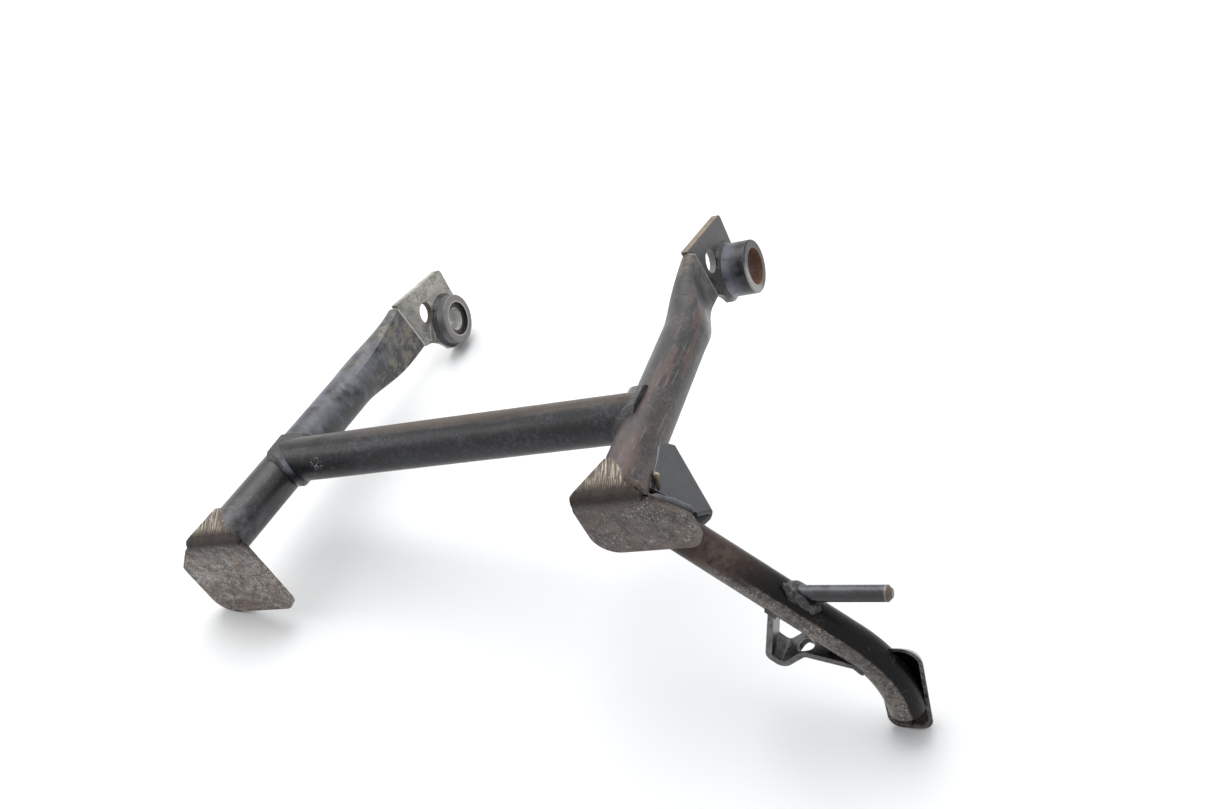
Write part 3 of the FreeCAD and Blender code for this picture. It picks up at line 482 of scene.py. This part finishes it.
def foot_tint(bend_forward, bend_drop, bright_edge, mark):
    """Dirt in the bend, painted shade on the sole next to the fold, upright scratches on the toe and bright
    flecks near one edge of the sole.
    """
    def tint(s, place):
        lean = TOE_LEAN
        toe_start = -lean[1] * bend_forward - lean[2] * bend_drop
        toe = side_of(s, place, lean, toe_start + 2.0, toe_start + 5.5, 1.5)
        above = side_of(s, place, lean, toe_start - 3.5, toe_start + 0.5, 1.5)
        bend = both(s, above,
                    s.math("SUBTRACT", 1.0, side_of(s, place, lean, toe_start + 5.0, toe_start + 11.5, 3.0)))
        lines = scratches(s, place, lean, 1150.0, 22.0, 0.85)
        tip = side_of(s, place, lean, toe_start + 8.5, toe_start + 15.5, 4.0)
        uneven = blotches(s, place, 95.0, 0.36, 0.6)
        # painted shade: the sole darker next to the fold
        fold_shade = side_of(s, place, lean, toe_start - 11.0, toe_start - 1.0, 3.0)
        reddish = both(s, side_of(s, place, (0, 1, 0), -2.0, 22.0, 14.0),
                       blotches(s, place, 120.0, 0.35, 0.6))
        brown = blotches(s, place, 70.0, 0.42, 0.62)
        mottle = blotches(s, place, 360.0, 0.47, 0.56, 6.0, 0.8)
        light = both(s, blotches(s, place, 520.0, 0.54, 0.62, 6.0, 0.85),
                     blotches(s, place, 55.0, 0.4, 0.58))
        nicks = both(s, scratches(s, place, mark, 640.0, 2.2, 0.7), blotches(s, place, 62.0, 0.5, 0.58))
        fine_lines = both(s, toe_part(s, place, toe_start), scratches(s, place, lean, 1900.0, 12.0, 0.75))
        rust = both(s, blotches(s, place, 130.0, 0.55, 0.66, 4.0), blotches(s, place, 500.0, 0.4, 0.6, 3.0))
        below = s.math("SUBTRACT", 1.0, toe)
        flecks = both(s, blotches(s, place, 950.0, 0.57, 0.66, 3.0), patch(s, place, *bright_edge))
        return [
            (part_of(s, mottle, 0.36), (0.055, 0.045, 0.039)),
            (part_of(s, both(s, light, below), 0.5), (0.36, 0.345, 0.32)),
            (part_of(s, both(s, nicks, below), 0.6), (0.5, 0.48, 0.45)),
            (part_of(s, both(s, brown, below), 0.45), (0.17, 0.125, 0.1)),
            (part_of(s, both(s, rust, below), 0.5), (0.16, 0.075, 0.045)),
            (part_of(s, both(s, reddish, below), 0.4), (0.165, 0.108, 0.083)),
            # painted shade on the sole next to the fold
            (part_of(s, both(s, fold_shade, below), 0.5), (0.06, 0.05, 0.044)),
            (part_of(s, toe, 0.9), (0.12, 0.092, 0.071)),
            (part_of(s, both(s, toe, lines), 0.6), (0.34, 0.285, 0.215)),
            (part_of(s, both(s, fine_lines, uneven), 0.85), (0.58, 0.52, 0.44)),
            (part_of(s, both(s, tip, lines, uneven), 0.75), (0.66, 0.61, 0.54)),
            (part_of(s, bend, 0.9), (0.02, 0.013, 0.01)),
            (part_of(s, flecks, 0.85), (0.6, 0.58, 0.55)),
        ]
    return tint


def arm_band(s, place):
    """The underside worn against the ground: thin near the leg, wide round the bend."""
    out = ARM_OUT
    along = ARM_ALONG
    root = out[0] * ARM_ROOT[0] + out[1] * ARM_ROOT[1]
    far = along[0] * ARM_ROOT[0] + along[1] * ARM_ROOT[1]
    thin = side_of(s, place, out, root + 2.2, root + 0.6, 1.6)
    wide = side_of(s, place, out, root + 5.4, root + 4.2, 1.6)
    growing = side_of(s, place, along, far + 45.0, far + 85.0, 4.0)
    straight = s.between(growing, thin, wide)
    away = s.vector("DISTANCE", place, mm(*ARM_BEND_CENTRE))
    shift = s.math("MULTIPLY", s.math("SUBTRACT", s.noise(place, 260.0, 4.0, 0.65), 0.5), 0.0016)
    bent = s.step(s.math("ADD", away, shift), 0.0758, 0.0744)
    past = side_of(s, place, along, far + 124.0, far + 130.0, 2.0)
    band = s.between(past, straight, bent)
    low = side_of(s, place, (0, 0, -1), 240.0, 246.0, 2.0)
    begins = side_of(s, place, along, far + 26.0, far + 50.0, 10.0)
    return both(s, band, low, begins)


def arm_tint(s, place):
    band = arm_band(s, place)
    mottle = blotches(s, place, 340.0, 0.38, 0.6, 6.0, 0.8)
    flecks = both(s, blotches(s, place, 1000.0, 0.56, 0.64, 3.0), blotches(s, place, 70.0, 0.46, 0.56))
    purple = both(s, patch(s, place, (165.0, 24.0, -243.0), 50.0, 44.0, 10.0),
                  blotches(s, place, 50.0, 0.1, 0.5))
    # painted highlight: a lighter patch in the middle of the arm near the leg
    centre_sheen = both(s, patch(s, place, (168.0, 31.0, -251.0), 22.0, 20.0, 8.0),
                  blotches(s, place, 240.0, 0.3, 0.65))
    # lighter grey blotches along the arm's top edge
    top_edge_grey = both(s, side_of(s, place, (0.7694, -0.6388, 0.3), 39.0, 45.0, 3.0),
                     blotches(s, place, 150.0, 0.4, 0.7))
    return [
        (part_of(s, top_edge_grey, 0.25), (0.12, 0.12, 0.125)),
        (part_of(s, purple, 0.66), (0.058, 0.039, 0.033)),
        # painted highlight in the middle of the arm
        (part_of(s, centre_sheen, 0.5), (0.19, 0.14, 0.12)),
        (part_of(s, band, 0.92), (0.078, 0.066, 0.058)),
        (part_of(s, both(s, band, mottle), 0.75), (0.225, 0.205, 0.188)),
        (part_of(s, both(s, band, flecks), 0.85), (0.6, 0.58, 0.53)),
    ]


def lock_hole(s, place):
    """The wall of the lock hole beside the bore."""
    parted = s.node("ShaderNodeSeparateXYZ")
    s.put(parted.inputs[0], place)
    flat = s.node("ShaderNodeCombineXYZ")
    s.put(flat.inputs[1], parted.outputs[1])
    s.put(flat.inputs[2], parted.outputs[2])
    away = s.vector("DISTANCE", flat.outputs[0], mm(*LOCK_HOLE_MIDDLE))
    return s.step(away, 0.0078, 0.00765)


def left_plate_tint(s, place):
    scratch_one = both(s, patch(s, place, (-110.5, -9.0, -26.0), 9.0, 4.0, 3.0),
                       scratches(s, place, (0, 0.55, 0.83), 520.0, 14.0, 0.8))
    scratch_two = both(s, patch(s, place, (-110.5, -5.0, -24.0), 8.0, 4.0, 3.0),
                       scratches(s, place, FRONT_UP, 560.0, 14.0, 0.8))
    dark = both(s, patch(s, place, (-110.5, -5.0, -20.0), 15.0, 9.0, 6.0),
                blotches(s, place, 120.0, 0.3, 0.6))
    stain = both(s, blotches(s, place, 130.0, 0.42, 0.58, 5.0, 0.75),
                 blotches(s, place, 600.0, 0.3, 0.6, 3.0))
    olive = both(s, blotches(s, place, 90.0, 0.48, 0.62), blotches(s, place, 380.0, 0.4, 0.6, 4.0))
    low = side_of(s, place, (0, -0.21, 0.978), -12.0, -26.0, 6.0)
    return [
        (part_of(s, stain, 0.65), (0.075, 0.066, 0.052)),
        (part_of(s, olive, 0.6), (0.28, 0.265, 0.2)),
        (part_of(s, low, 0.45), (0.075, 0.074, 0.074)),
        (part_of(s, dark, 0.7), (0.045, 0.042, 0.04)),
        (part_of(s, either(s, scratch_one, scratch_two), 0.8), (0.5, 0.49, 0.46)),
        (part_of(s, lock_hole(s, place), 0.9), (0.05, 0.038, 0.03)),
    ]


def right_plate_tint(s, place):
    golden = both(s, side_of(s, place, (0, -0.99, 0.1426), 34.2, 35.0, 0.8),
                  blotches(s, place, 160.0, 0.3, 0.55))
    grime = both(s, blotches(s, place, 90.0, 0.42, 0.62), blotches(s, place, 420.0, 0.35, 0.65, 3.0))
    return [
        (part_of(s, grime, 0.5), (0.14, 0.12, 0.1)),
        (part_of(s, golden, 0.55), (0.3, 0.215, 0.12)),
        (part_of(s, lock_hole(s, place), 0.8), (0.2, 0.19, 0.18)),
    ]


def left_boss_tint(s, place):
    face = side_of(s, place, (1, 0, 0), -101.9, -101.4, 0.2)
    rim = both(s, face, ring(s, place, 12.2, 17.9), blotches(s, place, 240.0, 0.2, 0.45))
    floor_ring = both(s, side_of(s, place, (1, 0, 0), -104.2, -103.8, 0.2), ring(s, place, 8.2, 12.1))
    bore = ring(s, place, 7.0, 8.15)
    side = both(s, ring(s, place, 17.2, 18.5), blotches(s, place, 110.0, 0.2, 0.5))
    spots = both(s, bore, blotches(s, place, 330.0, 0.5, 0.6, 3.0))
    # painted shade: the bore wall darker further in
    deep_shade = both(s, bore, side_of(s, place, (-1, 0, 0), 105.5, 109.5, 1.0))
    return [
        (part_of(s, side, 0.7), (0.15, 0.148, 0.146)),
        (part_of(s, rim, 0.5), (0.3, 0.265, 0.255)),
        (part_of(s, both(s, face, ring(s, place, 12.0, 12.9)), 0.7), (0.5, 0.48, 0.46)),
        (part_of(s, floor_ring, 0.95), (0.022, 0.022, 0.021)),
        # painted light: the bore wall painted bright where light falls on it
        (part_of(s, bore, 0.9), (0.62, 0.64, 0.6)),
        # painted shade further into the bore
        (part_of(s, deep_shade, 0.7), (0.16, 0.16, 0.15)),
        (part_of(s, spots, 0.7), (0.16, 0.11, 0.08)),
    ]


def right_boss_tint(s, place):
    bore = ring(s, place, 11.0, 12.35)
    face = side_of(s, place, (1, 0, 0), 133.2, 133.9, 0.4)
    low = both(s, face, side_of(s, place, (0, 0.5, -0.87), 4.0, 12.0, 4.0))
    # painted sheen: a light violet-grey tint on the plate side of the boss and its weld
    sheen_wash = both(s, blotches(s, place, 95.0, 0.26, 0.5), side_of(s, place, (-1, 0, 0), -130.0, -119.0, 3.0))
    # painted shade: the bore darker further in
    deep_shade = both(s, bore, side_of(s, place, (-1, 0, 0), -129.0, -120.0, 3.0))
    return [
        (part_of(s, bore, 0.9), (0.25, 0.135, 0.085)),
        # painted shade further into the bore
        (part_of(s, deep_shade, 0.6), (0.06, 0.04, 0.032)),
        (part_of(s, both(s, bore, blotches(s, place, 260.0, 0.45, 0.6)), 0.7), (0.09, 0.055, 0.04)),
        (part_of(s, low, 0.7), (0.42, 0.4, 0.38)),
        # painted sheen on the plate side of the boss
        (part_of(s, sheen_wash, 0.7), (0.23, 0.235, 0.29)),
    ]


def gusset_tint(s, place):
    smear = blotches(s, place, 70.0, 0.42, 0.66)
    # painted shade: a black line where the slag has a narrow gap
    slit_shade = both(s, patch(s, place, (147.9, -14.6, -238.5), 5.5, 1.4, 1.5),
                scratches(s, place, (0.2, 0.6, -0.8), 420.0, 5.0, 0.9))
    return [
        (part_of(s, smear, 0.45), (0.125, 0.128, 0.135)),
        # painted shade in the narrow gap by the slag
        (part_of(s, slit_shade, 0.95), (0.008, 0.007, 0.007)),
    ]


def rod_tint(s, place):
    tip = side_of(s, place, ROD_AXIS, 253.5, 254.5, 0.6)
    band = both(s, side_of(s, place, ROD_AXIS, 252.2, 252.8, 0.4),
                s.math("SUBTRACT", 1.0, side_of(s, place, ROD_AXIS, 253.2, 253.9, 0.4)))
    # painted highlight: a light tint along the top of the rod
    bluish_sheen = both(s, side_of(s, place, FRONT_UP, -200.0, -192.0, 2.0), blotches(s, place, 120.0, 0.35, 0.6))
    return [
        # painted highlight along the top of the rod
        (part_of(s, bluish_sheen, 0.45), (0.15, 0.158, 0.19)),
        (part_of(s, tip, 0.8), (0.12, 0.08, 0.06)),
        (part_of(s, band, 0.5), (0.3, 0.27, 0.25)),
    ]


def pad_tint(s, place):
    worn = both(s, side_of(s, place, (0, 0, -1), 238.3, 239.3, 1.0), blotches(s, place, 300.0, 0.38, 0.6))
    dirt = both(s, patch(s, place, (236.0, 160.0, -236.0), 14.0, 7.0, 6.0),
                blotches(s, place, 240.0, 0.35, 0.6))
    return [
        (part_of(s, worn, 0.6), (0.2, 0.19, 0.18)),
        (part_of(s, dirt, 0.75), (0.15, 0.12, 0.1)),
    ]


def hook_tint(s, place):
    rough_edge = both(s, side_of(s, place, (0, 0, -1), 249.4, 249.9, 0.4),
                      blotches(s, place, 420.0, 0.3, 0.6))
    dusty = both(s, blotches(s, place, 140.0, 0.45, 0.65),
                 side_of(s, place, (-1, 0, 0), -190.0, -180.0, 4.0))
    return [
        (part_of(s, rough_edge, 0.7), (0.16, 0.145, 0.135)),
        (part_of(s, dusty, 0.5), (0.22, 0.22, 0.22)),
    ]


def weld_tint(s, place):
    pale = both(s, blotches(s, place, 150.0, 0.45, 0.64), blotches(s, place, 700.0, 0.35, 0.65, 3.0))
    # painted highlight: a light tint on the weld at the left end of the cross tube
    blue_highlight = patch(s, place, (-114.5, -28.5, -202.0), 8.0, 5.0, 3.0)
    return [
        (part_of(s, pale, 0.25), (0.2, 0.2, 0.215)),
        # painted highlight on the weld at the left end of the cross tube
        (part_of(s, blue_highlight, 0.5), (0.2, 0.21, 0.26)),
    ]


BLUE_GREY = (0.12, 0.128, 0.15)
finishes = {
    # Left leg: its grey dust tint is partly real dust and partly a painted sheen
    "left_leg_paint": dict(dust=BLUE_GREY, dust_share=0.3, rust_share=0.08, tint=left_leg_tint, gloss=0.34,
                            shine=0.5),
    "right_leg_paint": dict(dust_share=0.3, rust_share=0.3, tint=right_leg_tint, gloss=0.36, shine=0.5),
    "cross_tube_paint": dict(dust_share=0.08, rust_share=0.12, tint=cross_tube_tint, gloss=0.33, shine=0.3),
    "left_plate_paint": dict(paint=(0.2, 0.195, 0.172), dust=(0.6, 0.585, 0.535), dust_share=1.2, gloss=0.5,
                             edge=0.7, tint=left_plate_tint, shine=0.4),
    "right_plate_paint": dict(dust_share=0.8, edge=0.8, bare=(0.4, 0.32, 0.22), gloss=0.4,
                              tint=right_plate_tint,
                              shine=0.6),
    "left_boss_paint": dict(dust_share=0.5, edge=0.8, bare=(0.5, 0.44, 0.41), tint=left_boss_tint,
                            shine=0.6),
    "right_boss_paint": dict(dust=BLUE_GREY, dust_share=0.5, edge=0.6, tint=right_boss_tint, gloss=0.3,
                             shine=0.4),
    "left_foot_worn_steel": dict(wear=foot_wear, dust_share=0.6, bare=(0.5, 0.465, 0.43), gloss=0.42,
                                 edge=0.9,
                                 relief=1.2, shine=0.4,
                                 tint=foot_tint(22.0, 266.0, ((-121.0, 18.0, -260.0), 25.0, 12.0),
                                                (0.45, 0.88, 0.13))),
    "right_foot_worn_steel": dict(wear=foot_wear, dust_share=0.6, bare=(0.205, 0.188, 0.172), gloss=0.42,
                                  edge=0.9, relief=1.2, shine=0.4,
                                  tint=foot_tint(24.0, 262.0, ((150.0, -12.0, -259.0), 14.0, 8.0),
                                                 (0.2, 0.97, 0.13))),
    "gusset_paint": dict(dust=(0.142, 0.143, 0.148), dust_share=1.2, rust_share=0.03, edge=0.7,
                         tint=gusset_tint,
                         gloss=0.36, relief=0.2, bare=(0.34, 0.35, 0.36), shine=0.22),
    "arm_paint": dict(dust_share=0.06, rust_share=0.42, tint=arm_tint, gloss=0.25,
                      paint=(0.008, 0.008, 0.009),
                      rust=(0.06, 0.042, 0.03), shine=0.13),
    "pad_paint": dict(dust_share=0.06, rust_share=0.03, gloss=0.2, edge=0.7, tint=pad_tint,
                      paint=(0.009, 0.009, 0.01),
                      shine=0.3),
    "rod_paint": dict(dust_share=0.5, rust_share=0.08, edge=0.5, tint=rod_tint, gloss=0.27, shine=0.55),
    "hook_paint": dict(dust_share=0.45, rust_share=0.08, edge=0.8, tint=hook_tint, gloss=0.3, shine=0.45),
    "weld_paint": dict(dust_share=0.15, rust_share=0.25, relief=1.2, tint=weld_tint, gloss=0.24, shine=0.5),
}
made_materials = {slot_name: old_paint(slot_name, **settings) for slot_name, settings in finishes.items()}

slot_of = {row["node"]: row["material_slot"] for row in frame["record"]["subparts"]}
for node_name, part in frame["nodes"].items():
    part.data.materials.clear()
    part.data.materials.append(made_materials[slot_of[node_name]])


# Small weld lumps and beads that the solids don't have

def bead(name, stations, material, uneven=0.2, seed=1.0):
    """A lumpy rounded bead along points given as (x, y, z, radius) in millimetres."""
    steps = 6
    path = []
    for first, second in zip(stations[:-1], stations[1:]):
        for step in range(steps):
            path.append([a + (b - a) * step / steps for a, b in zip(first, second)])
    path.append(list(stations[-1]))
    last = len(path) - 1
    shape = bmesh.new()
    loops = []
    for index, (x, y, z, radius) in enumerate(path):
        centre = spot(x, y, z)
        along = spot(*path[min(index + 1, last)][:3]) - spot(*path[max(index - 1, 0)][:3])
        taper = math.sin(min(min(index, last - index) / 3.0 + 0.22, 1.0) * math.pi / 2.0)
        turn = along.to_track_quat("Z", "Y").to_matrix().to_4x4()
        ring_verts = bmesh.ops.create_circle(shape, segments=16, radius=radius * taper * 0.001,
                                             matrix=Matrix.Translation(centre) @ turn)["verts"]
        for vert in ring_verts:
            rough = noise.noise(vert.co * 420.0 + Vector((seed, seed, seed)))
            vert.co += (vert.co - centre) * (uneven * rough)
        loops.append(list({edge for vert in ring_verts for edge in vert.link_edges}))
    for lower, upper in zip(loops[:-1], loops[1:]):
        bmesh.ops.bridge_loops(shape, edges=lower + upper)
    caps = []
    for loop in (loops[0], loops[-1]):
        caps += bmesh.ops.edgeloop_fill(shape, edges=loop)["faces"]
    bmesh.ops.recalc_face_normals(shape, faces=shape.faces[:])
    bmesh.ops.poke(shape, faces=caps, offset=0.0006)
    for face in shape.faces:
        face.smooth = True
    mesh = bpy.data.meshes.new(name)
    shape.to_mesh(mesh)
    shape.free()
    mesh.materials.append(material)
    piece = bpy.data.objects.new(name, mesh)
    bpy.context.scene.collection.objects.link(piece)
    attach(piece, "root")
    return piece


def slag_tint(s, place):
    return [(part_of(s, blotches(s, place, 300.0, 0.4, 0.6), 0.6), (0.1, 0.06, 0.035))]


slag_paint = old_paint("slag_paint", paint=(0.02, 0.015, 0.012), dust_share=0.2, rust_share=0.5, relief=1.5,
                       gloss=0.35, tint=slag_tint)
bright_slag = old_paint("bright_slag", paint=(0.34, 0.24, 0.14), dust=(0.4, 0.36, 0.3), dust_share=0.8,
                        rust_share=0.4, rust=(0.2, 0.12, 0.06), relief=1.0, gloss=0.4)
toe_bead_paint = old_paint("toe_bead_paint", paint=(0.05, 0.038, 0.03), dust=(0.2, 0.18, 0.16),
                           dust_share=0.7,
                           rust_share=0.5, relief=1.3, gloss=0.36)
weld_metal = made_materials["weld_paint"]

bead("slag_drop", [(147.9, -17.6, -234.2, 1.5), (148.4, -16.2, -235.6, 2.0), (148.6, -15.0, -237.0, 1.4)],
     bright_slag, 0.5, 3.0)
bead("slag_streak", [(148.2, -14.6, -237.4, 1.1), (148.8, -13.0, -239.0, 1.3), (149.3, -11.4, -241.0, 0.9)],
     slag_paint, 0.7, 5.0)
bead("toe_bead", [(141.0, -30.6, -251.6, 1.6), (144.4, -28.6, -253.6, 2.0), (147.2, -26.2, -254.8, 2.2),
                  (148.9, -22.4, -255.2, 2.3), (151.0, -18.6, -255.6, 2.2), (153.6, -15.0, -255.2, 1.8)],
     toe_bead_paint, 0.5, 8.0)
bead("gusset_bead", [(150.6, -17.0, -254.0, 2.0), (154.4, -13.0, -251.0, 2.4), (159.0, -8.0, -249.0, 2.5),
                     (163.2, -3.6, -247.6, 2.5), (167.0, 0.6, -246.4, 2.2)],
     made_materials["gusset_paint"], 0.3, 11.0)
bead("rod_weld_lump", [(199.6, 57.6, -243.6, 1.8), (202.6, 61.6, -246.4, 2.6), (205.6, 66.4, -247.6, 3.0),
                       (208.6, 71.6, -246.6, 2.6), (211.6, 75.2, -244.6, 1.8)],
     weld_metal, 0.7, 14.0)
bead("rod_weld_drop", [(197.6, 54.6, -244.6, 1.2), (199.0, 58.2, -246.6, 1.9), (201.8, 62.6, -248.6, 1.6)],
     weld_metal, 0.8, 17.0)


# Floor, light and camera

def plain_material(name, colour, rough=0.9):
    material = bpy.data.materials.new(name)
    material.use_nodes = True
    principled = material.node_tree.nodes["Principled BSDF"]
    principled.inputs["Base Color"].default_value = (*colour, 1.0)
    principled.inputs["Roughness"].default_value = rough
    principled.inputs["Specular IOR Level"].default_value = 0.1
    return material


FLOOR_HALF_SIZE = 4.0
FLOOR_GAP = 0.0003
floor_mesh = bpy.data.meshes.new("floor")
floor_shape = bmesh.new()
bmesh.ops.create_grid(floor_shape, x_segments=1, y_segments=1, size=FLOOR_HALF_SIZE,
                      matrix=Matrix.Translation((0.0, 0.0, loaded_bounds[0][2] - FLOOR_GAP)))
floor_shape.to_mesh(floor_mesh)
floor_shape.free()
floor = bpy.data.objects.new("floor", floor_mesh)
floor_mesh.materials.append(plain_material("pale_floor", (0.9, 0.9, 0.9)))
bpy.context.scene.collection.objects.link(floor)

world = bpy.data.worlds.new("studio")
bpy.context.scene.world = world
world.use_nodes = True
w = Shader(world.node_tree)
background = world.node_tree.nodes["Background"]
output = world.node_tree.nodes["World Output"]
direction = w.node("ShaderNodeTexCoord").outputs["Generated"]
height = w.node("ShaderNodeSeparateXYZ")
w.put(height.inputs[0], direction)
sky = w.step(height.outputs[2], -0.1, 0.9)
facing = w.vector("DOT_PRODUCT", direction, TO_CAMERA)
dark_side = w.step(facing, 0.6, 0.97)
level = w.between(sky, 0.5, 1.2)
level = w.math("MULTIPLY", level, w.between(dark_side, 1.0, 0.05))
w.put(background.inputs["Color"], (0.96, 0.98, 1.0))
w.put(background.inputs["Strength"], level)
white = w.node("ShaderNodeBackground")
w.put(white.inputs["Color"], (1.0, 1.0, 1.0))
w.put(white.inputs["Strength"], 1.0)
path = w.node("ShaderNodeLightPath")
seen = path.outputs["Is Camera Ray"]
for ray in ("Is Glossy Ray", "Is Transmission Ray"):
    seen = w.math("MAXIMUM", seen, path.outputs[ray])
choice = w.node("ShaderNodeMixShader")
w.put(choice.inputs[0], seen)
w.put(choice.inputs[1], background.outputs[0])
w.put(choice.inputs[2], white.outputs[0])
w.put(output.inputs["Surface"], choice.outputs[0])


def area_light(name, place, target, size, power):
    data = bpy.data.lights.new(name, "AREA")
    data.shape = "DISK"
    data.size = size
    data.energy = power
    lamp = bpy.data.objects.new(name, data)
    lamp.location = place
    lamp.rotation_mode = "QUATERNION"
    lamp.rotation_quaternion = (Vector(target) - Vector(place)).to_track_quat("-Z", "Y")
    bpy.context.scene.collection.objects.link(lamp)
    return lamp


STAND_MIDDLE = (0.0, 0.0, 0.05)
area_light("top_light", (-0.5, 0.7, 1.6), STAND_MIDDLE, size=1.9, power=27.0)
area_light("left_light", (-1.5, -0.4, 0.9), STAND_MIDDLE, size=1.0, power=6.0)

# The lens, the camera's own right and up, and its place in millimetres from the pivot axis
SENSOR_WIDTH = 36.0
LENS = 42.1366
CAMERA_SPOT = (484.2885846, -409.2951808, -758.7508982)
camera_data = bpy.data.cameras.new("camera")
camera_data.sensor_width = SENSOR_WIDTH
camera_data.lens = LENS
camera = bpy.data.objects.new("camera", camera_data)
camera.rotation_mode = "QUATERNION"
camera_right = toward(0.8686926, 0.3724293, 0.3266032)
camera_up = toward(0.1146925, -0.7926422, 0.5988021)
camera.rotation_quaternion = Matrix((camera_right, camera_up, TO_CAMERA)).transposed().to_quaternion()
camera.location = spot(*CAMERA_SPOT)
bpy.context.scene.collection.objects.link(camera)
bpy.context.scene.camera = camera
bpy.context.scene.view_settings.view_transform = "Standard"
